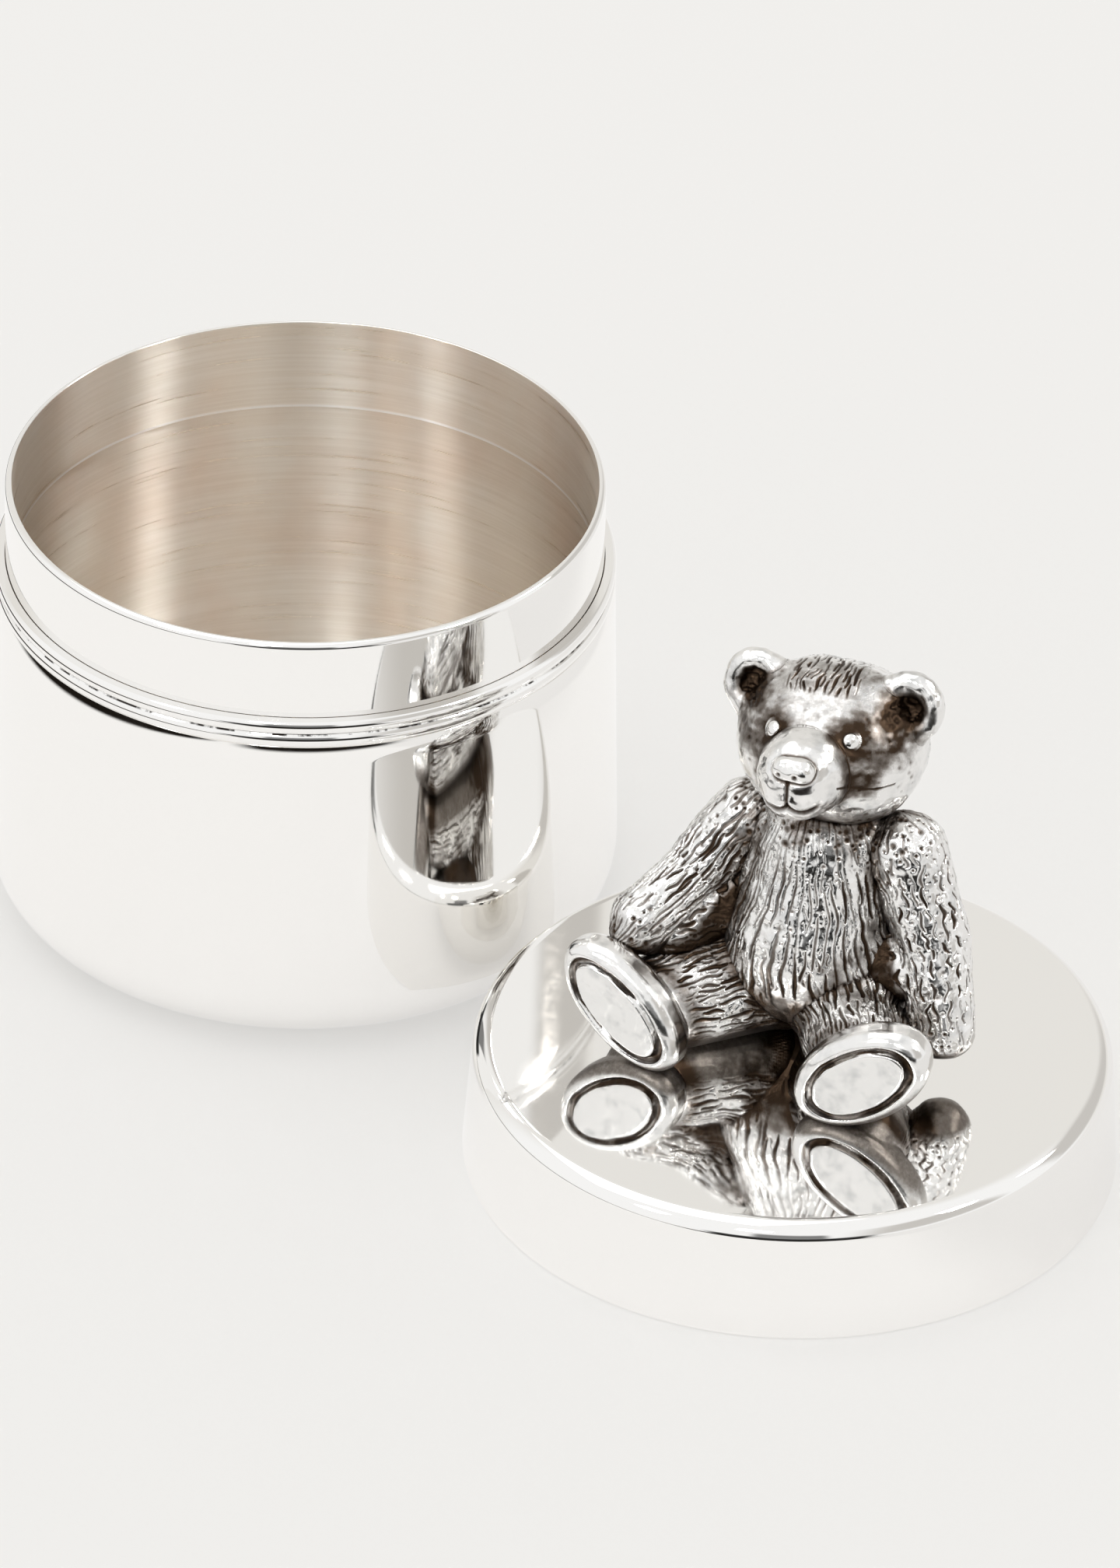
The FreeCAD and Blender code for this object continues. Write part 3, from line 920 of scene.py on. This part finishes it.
def furred(piece, points, limb, seed, stroke, shares, near, extra_depth=0, extra_oxide_and_shade=0, rough=1.0):
    """Cut fur and pits into a piece by their shares, fill its creases with others, blacken the hollows and
    paint shade on joins and undersides.

    Limb holds the length along the piece, the angle round it and its usual radius.
    """
    fur_share, pit_share = shares
    # Faces that look down get less fur and painted shade.
    under = smooth_step(-read_normals(piece)[:, 2], 0.1, 0.55)
    filled = CREASE_FILL * smooth_step(near, 0.42, 0.85)
    near = near * (0.55 + 0.8 * soft_noise(points, 0.5, seed + 7))
    fur = lane_strokes(points, *limb, seed, stroke) * fur_share * (1 - under)
    small_pits = np.maximum(pits(points, 0.45, seed + 20, 0.5), pits(points, 0.8, seed + 25, 0.3) * 0.9)
    hollow = np.maximum(fur, small_pits * pit_share * (1 - under))
    worn = soft_noise(points, 1.5, seed + 3)
    # Random patches near the joins: grime and painted shade.
    joint_grime_and_shade = smooth_step(worn, 0.35, 0.75) * smooth_step(near, 0.08, 0.4)
    depth = stroke["depth"] * hollow + extra_depth + unevenness(points, seed + 30) * rough - filled
    # Blackening in the cuts and a random tone, with painted shade near the joins and on faces that look down.
    oxide_and_shade = (
        1.05 * np.maximum(hollow, 0) + extra_oxide_and_shade + 0.65 * near ** 1.3
        + (0.08 * worn + 0.3 * joint_grime_and_shade) * rough + 0.62 * under
    )
    cut_in(piece, depth, oxide_and_shade)


class TOOTHBOX_OT_bear_torso(bpy.types.Operator):
    """Cast torso with chased fur down its front and pitted shoulders"""

    bl_idname = "toothbox.bear_torso"
    bl_label = "Bear's torso"

    def execute(self, context):
        source = "bear_torso"
        piece = cast_copy(source, "cast_torso")
        points = bear_points(piece)
        x, y, z = points.T
        angle = np.arctan2(x, -(y - TORSO_MIDDLE))
        belly = np.exp(-((z - BELLY_HEIGHT) / BELLY_HALF) ** 2 - (angle / 0.5) ** 2)
        pitted = np.clip(smooth_step(z, *PITTED_CHEST) + 0.9 * belly, 0.12, 1)
        fur = (0.9 - 0.4 * belly) * (1 - 0.6 * smooth_step(z, *WORN_CHEST))
        near = nearness(piece, source, TOUCH_REACH)
        furred(piece, points, (-z, angle, TORSO_RADIUS), 11, stroke_sizes(1.4, 1.2, 2.0), (fur, pitted), near)
        dress_cast(piece, source)
        return {"FINISHED"}


class TOOTHBOX_OT_bear_arms(bpy.types.Operator):
    """Cast arms with lengthwise fur and pitted shoulders and hands"""

    bl_idname = "toothbox.bear_arms"
    bl_label = "Bear's arms"

    def execute(self, context):
        for side, joints, seed, stroke in (
            ("right", RIGHT_ARM, 21, stroke_sizes(1.0, 1.25)),
            ("left", LEFT_ARM, 31, stroke_sizes(1.5, 1.2, 0.6, 0.2)),
        ):
            source = f"bear_{side}_arm"
            piece = cast_copy(source, f"cast_{side}_arm")
            points = bear_points(piece)
            along, angle, gap = along_limb(points, joints)
            reach = sum(np.linalg.norm(b - a) for a, b in zip(joints, joints[1:]))
            hand = smooth_step(along, reach - HAND_LENGTH, reach)
            ends = np.clip(smooth_step(along, *ARM_TOP) + hand, 0, 1)
            # Painted shade on the web between arm and body.
            web_shade = smooth_step(gap, *ARM_WEB_SHADE)
            near = nearness(piece, source, TOUCH_REACH)
            shares = (1 - 0.5 * ends, np.clip(ends, 0.6, 1))
            furred(piece, points, (along, angle, ARM_RADIUS), seed, stroke, shares, near, 0, 0.6 * web_shade)
            dress_cast(piece, source)
        return {"FINISHED"}


def sole_place(points, middle, hand):
    """Places on a sole: along the foot, across it and out of it, in millimetres."""
    facing = np.array((hand * math.sin(SOLE_TURN), -math.cos(SOLE_TURN), 0.0))
    outwards = np.array((hand * math.cos(SOLE_TURN), math.sin(SOLE_TURN), 0.0))
    long_way = outwards * math.cos(SOLE_TILT) + np.array(UP) * math.sin(SOLE_TILT)
    offset = points - middle
    return offset @ long_way, offset @ np.cross(facing, long_way), offset @ facing


def sole_ring(points, oval, out, seed):
    """Hand-cut ring round a sole's pad, uneven in its line, width and depth."""
    wobble = 0.16 * (soft_noise(points, 2.6, seed + 40) - 0.5)
    wobble = wobble + 0.05 * (soft_noise(points, 0.7, seed + 41) - 0.5)
    share = 0.65 + 0.35 * smooth_step(soft_noise(points, 1.5, seed + 42), 0.3, 0.65)
    return bell(oval + wobble - 1, 0.035 + 0.035 * share) * smooth_step(out, *RING_FRONT), share


class TOOTHBOX_OT_bear_legs(bpy.types.Operator):
    """Cast legs with lengthwise fur and smooth polished feet"""

    bl_idname = "toothbox.bear_legs"
    bl_label = "Bear's legs"

    def execute(self, context):
        for side, joints, sole, hand, seed in (
            ("right", RIGHT_LEG, RIGHT_SOLE, -1, 51), ("left", LEFT_LEG, LEFT_SOLE, 1, 61),
        ):
            source = f"bear_{side}_leg"
            piece = cast_copy(source, f"cast_{side}_leg")
            # Marks are placed before the pad is worn, and the fur after it.
            points = bear_points(piece)
            along, angle, gap = along_limb(points, joints)
            length_way, width_way, out = sole_place(points, sole, hand)
            oval = np.hypot(length_way / PAD_HALF[0], width_way / PAD_HALF[1])
            wear(piece, smooth_step(out, *PAD_WORN) * smooth_step(oval, *PAD_WORN_OVAL), PAD_PASSES)
            ring, ring_share = sole_ring(points, oval, out, seed)
            foot = smooth_step(out, *FOOT_BACK)
            ankle = smooth_step(out, *ANKLE_BACK) * smooth_step(out, *ANKLE_FRONT)
            ankle = ankle * smooth_step(gap, *ANKLE_HALF)
            near = nearness(piece, source, TOUCH_REACH) * (1 - 0.6 * foot)
            furred(
                piece, bear_points(piece), (along, angle, LEG_RADIUS), seed, stroke_sizes(1.0, 1.25),
                (1 - foot, 0.25 * (1 - foot)), near,
                0.3 * ring * ring_share, 1.05 * ring * ring_share + 0.5 * ankle, 1 - 0.75 * foot,
            )
            dress_cast(piece, source)
        return {"FINISHED"}


def head_points(points):
    """Points of the bear in the head's own frame, in millimetres."""
    turn = Matrix.Rotation(HEAD_TURN, 3, "Z")
    turn = turn @ Matrix.Rotation(-HEAD_LIFT, 3, "X") @ Matrix.Rotation(-HEAD_TILT, 3, "Y")
    return (points - HEAD_MIDDLE) @ np.array(turn)


def fillet(first, second, reach):
    """How far metal fills the crease where two forms meet, from the distance to each, in millimetres."""
    return reach / 4 * np.clip(1 - np.maximum(first, second) / reach, 0, 1) ** 2


def line_gap(points, bends):
    """Distance from a bent line."""
    best = np.full(len(points), np.inf)
    for start, end in zip(bends, bends[1:]):
        way = end - start
        share = np.clip((points - start) @ way / (way @ way), 0, 1)
        best = np.minimum(best, np.linalg.norm(points - start - share[:, None] * way, axis=1))
    return best


def bar_gap(points, middle, reach, radius):
    """Distance from the surface of a round-ended bar that lies from side to side."""
    offset = points - middle
    held = np.clip(offset[:, 0], -reach, reach)
    return np.abs(np.linalg.norm(offset - held[:, None] * np.array((1.0, 0.0, 0.0)), axis=1) - radius)


def ear_place(spot, side):
    """Distance from an ear's middle in the plane of its ring, and behind that plane."""
    offset = spot - EAR_MIDDLE * np.array((side, 1, 1))
    return np.hypot(offset[:, 0], offset[:, 2]), offset[:, 1]


def wear_ears(piece):
    """Smooth the hollows of the ears."""
    spot = head_points(bear_points(piece))
    share = np.zeros(len(spot))
    for side in SIDES:
        ring, behind = ear_place(spot, side)
        inside = smooth_step(ring, EAR_RING, EAR_RING * 0.7) * smooth_step(behind, *EAR_WORN)
        share = np.maximum(share, inside)
    wear(piece, share, EAR_PASSES)


def side_marks(spot, side, from_skull, streaks):
    """Marks of one side of the head: bright eye, its socket, dark temple, dark ear and the ear's fillet."""
    mirrored = np.array((side, 1, 1))
    offset = spot - EYE_MIDDLE * mirrored
    gap = np.linalg.norm(offset, axis=1)
    stands = offset @ (EYE_MIDDLE * mirrored) / np.linalg.norm(EYE_MIDDLE)
    eye = smooth_step(stands, EYE_RADIUS * 0.5, EYE_RADIUS * 0.75) * (gap < EYE_RADIUS * 1.3)
    beside = line_gap(spot, DARK_LINE * mirrored) + 0.8 * (soft_noise(spot, 1.2, 14) - 0.5)
    temple = smooth_step(beside, *DARK_EDGE) * (0.86 + 0.1 * side)
    ring, behind = ear_place(spot, side)
    from_ear = np.abs(np.hypot(ring - EAR_RING, behind) - EAR_RIM)
    hollow = smooth_step(ring, EAR_RING * 0.85, EAR_RING * 0.5) * smooth_step(behind, *EAR_DARK)
    ear = hollow * (0.65 + 0.5 * streaks)
    return eye, bell(gap, SOCKET_WIDTH), temple, ear, fillet(from_skull, from_ear, EAR_FILLET)


def mouth_marks(spot, x, y, z):
    """The mouth's line, the lips that swell along it, the parting above it and the nostrils, from 0 to 1."""
    on_front = smooth_step(y, *MUZZLE_FRONT)
    lips = np.abs(x) - LIP_HALF
    mouth_line = MUZZLE_MIDDLE[2] - MOUTH_DROP - MOUTH_SAG * (1 - (lips / LIP_HALF) ** 2)
    from_mouth = z - (mouth_line + 0.15 * (soft_noise(spot, 0.8, 15) - 0.5))
    mouth = bell(from_mouth, MOUTH_WIDTH) * smooth_step(np.abs(x), *MOUTH_END) * on_front
    swell = bell(np.abs(from_mouth) - LIP_OFFSET, LIP_WIDTH) * smooth_step(np.abs(x), *LIP_END) * on_front
    parting = bell(x, PARTING_WIDTH) * on_front * smooth_step(z, *PARTING_TOP)
    parting = parting * smooth_step(from_mouth, *PARTING_FOOT)
    aside = (np.abs(x) - NOSTRIL_ASIDE) / NOSTRIL_WIDTH
    drop = (z - NOSE_MIDDLE[2] + NOSTRIL_DROP) / NOSTRIL_HEIGHT
    return mouth, swell, parting, np.exp(-aside ** 2 - drop ** 2) * (y < NOSE_FRONT)


class TOOTHBOX_OT_bear_head(bpy.types.Operator):
    """Cast head: smooth face, dark eye sockets and ears, a cut mouth and short fur on the crown"""

    bl_idname = "toothbox.bear_head"
    bl_label = "Bear's head"

    def execute(self, context):
        source = "bear_head"
        piece = cast_copy(source, "cast_head")
        wear_ears(piece)
        points = bear_points(piece)
        spot = head_points(points)
        x, y, z = spot.T
        x = x - MUZZLE_MIDDLE[0]
        from_skull = bar_gap(spot, np.zeros(3), SKULL_REACH, SKULL_RADIUS)
        from_muzzle = np.abs(np.linalg.norm(spot - MUZZLE_MIDDLE, axis=1) - MUZZLE_RADIUS)
        from_nose = bar_gap(spot, NOSE_MIDDLE, NOSE_REACH, NOSE_RADIUS)
        streaks = 0.6 * soft_noise(spot * (1.0, 1.0, 2.5), 0.7, 16) + 0.4 * soft_noise(spot, 0.28, 17)
        streaks = smooth_step(streaks, 0.28, 0.72)
        patch = smooth_step(0.6 * soft_noise(spot, 1.5, 12) + 0.4 * soft_noise(spot, 0.6, 13), 0.36, 0.62)
        right, left = (side_marks(spot, side, from_skull, streaks) for side in SIDES)
        eyes, sockets, temples, ears, ear_fill = (np.maximum(a, b) for a, b in zip(right, left))
        filled = np.maximum(fillet(from_skull, from_muzzle, MUZZLE_FILLET), ear_fill)
        mouth, swell, parting, nostril = mouth_marks(spot, x, y, z)
        nose_crease = bell(from_nose + from_muzzle, NOSE_FOOT)
        muzzle_shade = bell(from_skull + from_muzzle, MUZZLE_FOOT) * (y < 0)
        muzzle_haze = smooth_step(from_muzzle, *ON_SURFACE)
        brow = smooth_step(z, *BROW_RISE) * smooth_step(y, *BROW_FRONT) * smooth_step(from_skull, *ON_SURFACE)
        seam = bell(z + SEAM_DROP + 0.2 * np.sin(1.7 * x), SEAM_WIDTH)
        seam = seam * (x > SEAM_START) * (x < SEAM_END) * (y < SEAM_BACK)
        crown = smooth_step(z, *CROWN_RISE) * smooth_step(np.abs(x), *CROWN_HALF)
        stroke = stroke_sizes(0.75, 0.85, 0.8)
        turn = np.arctan2(-y, z) * SKULL_RADIUS
        lane = x / stroke["spacing"] + 1.4 * (soft_noise(spot, 1.6, 5) - 0.5)
        furry = np.clip(crown + smooth_step(y, *HEAD_BACK), 0, 1)
        fur = chased_strokes(turn, lane, None, 71, stroke) * furry
        chin = smooth_step(z, *CHIN_DROP)
        cheeks = smooth_step(np.abs(x), *CHEEK_SIDE) * smooth_step(from_muzzle, *OFF_MUZZLE)
        cheeks = cheeks * (y < CHEEK_BACK)
        specks = pits(spot, 0.55, 77, 0.3) * (0.2 + 0.5 * chin + 0.3 * cheeks)
        near = nearness(piece, source, HEAD_TOUCH_REACH)
        depth = (
            0.16 * fur + 0.1 * nose_crease + 0.28 * mouth + 0.16 * parting + 0.2 * nostril + 0.08 * seam
            + 0.16 * sockets * (1 - eyes) + 0.2 * ears * (streaks - 0.5) + 0.1 * specks
            - 0.14 * swell - filled + unevenness(points, 90) * (1 - eyes)
        )
        # Blackening in the cuts, sockets, ears and temples, with painted shade where the head meets the other
        # pieces.
        oxide_and_shade = (
            0.9 * np.maximum(fur, 0) + 0.55 * muzzle_shade * patch + 0.75 * nose_crease
            + mouth + 0.8 * parting + nostril + 0.8 * seam + 0.8 * sockets
            + (0.5 + 0.1 * patch + 0.35 * streaks) * temples + 1.1 * ears
            + 0.5 * chin + 0.8 * near ** 1.4 + 0.7 * specks + 0.2 * cheeks * patch
            + (0.3 + 0.14 * streaks) * brow * (1 - temples) + 0.17 * muzzle_haze + 0.08 * crown
        )
        cut_in(piece, depth, oxide_and_shade * (1 - eyes))
        dress_cast(piece, source)
        return {"FINISHED"}


def floor_gaps(tree, across):
    """1 in the dark gaps of the studio's floor: a strip on the left and a wedge at the front."""
    left = within(tree, (across["X"], LEFT_GAP_START), (across["X"], LEFT_GAP_END))
    aside = away(tree, across["X"], WEDGE_MIDDLE)
    wedge = node(tree, "Math", TIMES_PLUS, across["Y"], WEDGE_SLOPE, aside)
    front = within(tree, (across["Y"], FRONT_GAP_START), (wedge, WEDGE_EDGE))
    return node(tree, "Math", LARGER, left, front)


def paper_material():
    """Matt paper: an even pale ground with soft shadows, and dark gaps and painted shade right of the lid
    that only reflections see.
    """
    made, tree = new_material("matt_paper")
    studio = bpy.context.scene.tooth_studio
    path = node(tree, "LightPath").outputs
    mirrored = path["Is Glossy Ray"]
    place = node(tree, "TexCoord").outputs["Object"]
    across = node(tree, "SeparateXYZ", Vector=place).outputs
    # Reflections see the floor darker right of the lid: painted shade.
    image = node(
        tree, "Mix", COLOURS, Factor=within(tree, (across["X"], IMAGE_EDGE)),
        A=linear(studio.floor_image), B=linear(studio.floor_image_right),
    )
    tone = node(tree, "Mix", COLOURS, Factor=mirrored, A=linear(studio.floor), B=image)
    lit = node(tree, "BsdfDiffuse", Color=tone)
    glow = node(tree, "Mix", COLOURS, Factor=mirrored, A=linear(studio.floor_seen), B=image)
    pale = node(tree, "Emission", Color=glow)
    seen = node(tree, "Math", {"operation": "ADD"}, path["Is Camera Ray"], mirrored)
    seen = node(tree, "Math", TIMES, seen, FLOOR_GLOW_SHARE)
    paper = node(tree, "MixShader", None, seen, lit, pale)
    dark = node(tree, "Emission", Color=linear(studio.gap))
    gaps = node(tree, "Math", TIMES, floor_gaps(tree, across), mirrored)
    surface = node(tree, "MixShader", None, gaps, paper, dark)
    node(tree, "OutputMaterial", Surface=surface)
    return made


def tent_light(tree, heading, height):
    """Strength of the tent: even, with a dark gap and a stand at the front and narrow bright panels above."""
    ahead = node(tree, "VectorMath", DOT, heading, (0.0, -1.0, 0.0))
    gap = within(tree, (ahead, GAP_SIDE), (height, GAP_TOP))
    stand = within(tree, (ahead, STAND_SIDE), (height, STAND_TOP))
    stand = node(tree, "Math", TIMES, stand, STAND_SHARE)
    shade = node(tree, "Math", LARGER, gap, stand)
    bright = node(tree, "MapRange", SMOOTH, shade, 0.0, 1.0, TENT_BRIGHT, TENT_DARK)
    for x, y, glow in PANELS:
        toward = node(tree, "VectorMath", DOT, heading, (x, y, 0.0))
        panel = within(tree, (toward, PANEL_SIDE), (height, PANEL_FOOT), (height, PANEL_TOP))
        bright = node(tree, "Math", TIMES_PLUS, panel, glow, bright)
    return bright


def tent_world():
    """White tent that reflections see. Other rays see the floor's plain colour all round."""
    world = bpy.data.worlds.new("studio_tent")
    world.use_nodes = True
    tree = world.node_tree
    tree.nodes.clear()
    studio = bpy.context.scene.tooth_studio
    place = node(tree, "TexCoord").outputs["Generated"]
    way = node(tree, "SeparateXYZ", Vector=place).outputs
    flat = node(tree, "CombineXYZ", X=way["X"], Y=way["Y"])
    heading = node(tree, "VectorMath", {"operation": "NORMALIZE"}, flat)
    right = within(
        tree, (way["X"], RIGHT_START), (way["Z"], RIGHT_FOOT), (way["Z"], RIGHT_TOP),
        (away(tree, way["Y"], RIGHT_MIDDLE), RIGHT_SIDE),
    )
    tone = linear(studio.tent)
    back = within(tree, (way["Y"], BACK_START))
    for share, cloth in ((back, studio.tent_back), (right, studio.tent_right)):
        tone = node(tree, "Mix", COLOURS, Factor=share, A=tone, B=linear(cloth))
    tent = node(tree, "Background", Color=tone, Strength=tent_light(tree, heading, way["Z"]))
    plain = node(tree, "Background", Color=linear(studio.floor), Strength=1.0)
    mirrored = node(tree, "LightPath").outputs["Is Glossy Ray"]
    surface = node(tree, "MixShader", None, mirrored, plain, tent)
    node(tree, "OutputWorld", Surface=surface)
    return world


class TOOTHBOX_OT_stage(bpy.types.Operator):
    """Camera, paper floor, studio tent and lamp"""

    bl_idname = "toothbox.stage"
    bl_label = "Stage"

    def execute(self, context):
        self.place_camera(context)
        self.lay_floor(context)
        context.scene.world = tent_world()
        self.hang_lamp(context)
        context.scene.view_settings.view_transform = "Standard"
        # Light crosses the narrow gap between the mirror-bright box and lid many times.
        context.scene.cycles.glossy_bounces = GLOSSY_BOUNCES
        return {"FINISHED"}

    def place_camera(self, context):
        deselect()
        ahead = Vector((0.0, math.cos(CAMERA_PITCH), -math.sin(CAMERA_PITCH)))
        above = Vector((0.0, math.sin(CAMERA_PITCH), math.cos(CAMERA_PITCH)))
        right = Vector((1.0, 0.0, 0.0))
        side = right * math.cos(CAMERA_ROLL) + above * math.sin(CAMERA_ROLL)
        top = above * math.cos(CAMERA_ROLL) - right * math.sin(CAMERA_ROLL)
        turn = Matrix((side, top, -ahead)).transposed()
        bpy.ops.object.camera_add(location=CAMERA_PLACE, rotation=turn.to_euler())
        camera = context.object
        camera.name = "camera"
        camera.data.sensor_width = SENSOR_WIDTH
        camera.data.lens = SENSOR_WIDTH * FOCAL_PIXELS / PHOTO_HEIGHT
        camera.data.clip_start = NEAREST_SEEN
        context.scene.camera = camera

    def lay_floor(self, context):
        deselect()
        bpy.ops.mesh.primitive_plane_add(size=FLOOR_SIZE, location=(0.0, 0.0, 0.0))
        floor = context.object
        floor.name = "paper_floor"
        floor.data.materials.append(paper_material())

    def hang_lamp(self, context):
        deselect()
        bpy.ops.object.light_add(type="AREA", location=LAMP_PLACE)
        lamp = context.object
        lamp.name = "overhead_softbox"
        lamp.data.shape = "RECTANGLE"
        lamp.data.size = lamp.data.size_y = LAMP_SIZE
        lamp.data.energy = LAMP_POWER
        lamp.rotation_euler = (LAMP_AIM - lamp.location).to_track_quat("-Z", "Y").to_euler()


class TOOTHBOX_PT_panel(bpy.types.Panel):
    """Pieces of the tooth box"""

    bl_idname = "TOOTHBOX_PT_panel"
    bl_label = "Tooth box"
    bl_space_type = "VIEW_3D"
    bl_region_type = "UI"
    bl_category = "Tooth box"

    def draw(self, context):
        for name, group in GROUPS.items():
            box = self.layout.box()
            for value in group.__annotations__:
                box.prop(getattr(context.scene, name), value)
        for operator in OPERATORS:
            self.layout.operator(operator.bl_idname)


GROUPS = {
    "tooth_box": BoxSizes,
    "tooth_bear": BearSizes,
    "tooth_finishes": Finishes,
    "tooth_studio": Studio,
}
OPERATORS = (
    TOOTHBOX_OT_stage,
    TOOTHBOX_OT_box_body,
    TOOTHBOX_OT_neck_collar,
    TOOTHBOX_OT_reeded_band,
    TOOTHBOX_OT_lid_shell,
    TOOTHBOX_OT_lid_fixing,
    TOOTHBOX_OT_bear_torso,
    TOOTHBOX_OT_bear_arms,
    TOOTHBOX_OT_bear_legs,
    TOOTHBOX_OT_bear_head,
)


def register():
    for made in (*GROUPS.values(), *OPERATORS, TOOTHBOX_PT_panel):
        bpy.utils.register_class(made)
    for name, group in GROUPS.items():
        setattr(bpy.types.Scene, name, PointerProperty(type=group))


def unregister():
    for name in GROUPS:
        delattr(bpy.types.Scene, name)
    for made in (TOOTHBOX_PT_panel, *reversed(OPERATORS), *GROUPS.values()):
        bpy.utils.unregister_class(made)


def main():
    register()
    bpy.ops.toothbox.stage()
    bpy.ops.toothbox.box_body()
    bpy.ops.toothbox.neck_collar()
    bpy.ops.toothbox.reeded_band()
    bpy.ops.toothbox.lid_shell()
    bpy.ops.toothbox.lid_fixing()
    bpy.ops.toothbox.bear_torso()
    bpy.ops.toothbox.bear_arms()
    bpy.ops.toothbox.bear_legs()
    bpy.ops.toothbox.bear_head()


if __name__ == "__main__":
    main()
